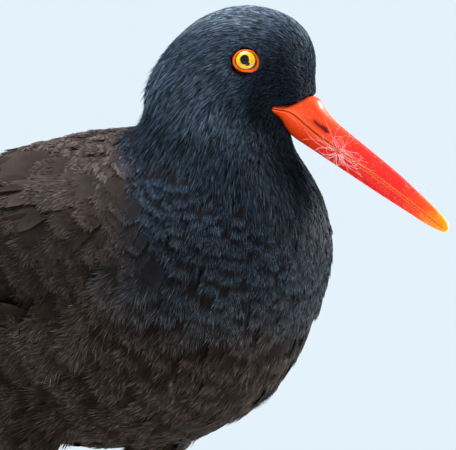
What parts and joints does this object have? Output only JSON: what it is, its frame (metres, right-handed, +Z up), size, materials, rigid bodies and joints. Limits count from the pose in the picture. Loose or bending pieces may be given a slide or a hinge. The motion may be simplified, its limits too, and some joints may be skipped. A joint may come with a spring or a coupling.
{
  "type": "black oystercatcher figure",
  "caption": "Life-size black oystercatcher standing with its head turned left and its long orange-red bill held low, wings folded over a dark body, on pale pink legs.",
  "frame": {"origin": "bottom centre of the bounding box, on the floor under the bird", "axes": "+X is forwards towards the bill, +Y is the bird's left and +Z is up"},
  "size_m": [0.3336, 0.1126, 0.2502],
  "materials": {
    "plumage_slate": "matte slate-black feathers, fine and hair-like",
    "plumage_brown": "soft brown-black feathers with paler frayed edges",
    "bill": "satin horn, orange-red going to yellow-orange at the tip",
    "iris": "wet, glossy yellow-orange iris with a black pupil",
    "orbital_ring": "bare orange-red skin",
    "leg": "pale pink scaled skin",
    "claw": "dark horn"
  },
  "bodies": {
    "root": {"claw_left_inner": "claw", "claw_left_middle": "claw", "claw_left_outer": "claw", "claw_right_inner": "claw", "claw_right_middle": "claw", "claw_right_outer": "claw", "eye_left": "iris", "eye_right": "iris", "eyelid_left": "orbital_ring", "eyelid_right": "orbital_ring", "foot_left": "leg", "foot_right": "leg", "head": "plumage_slate", "lower_mandible": "bill", "neck": "plumage_slate", "shank_left": "leg", "shank_right": "leg", "tail": "plumage_brown", "thigh_left": "plumage_brown", "thigh_right": "plumage_brown", "torso": "plumage_brown", "upper_mandible": "bill", "wing_left": "plumage_brown", "wing_right": "plumage_brown"}
  },
  "joints": []
}
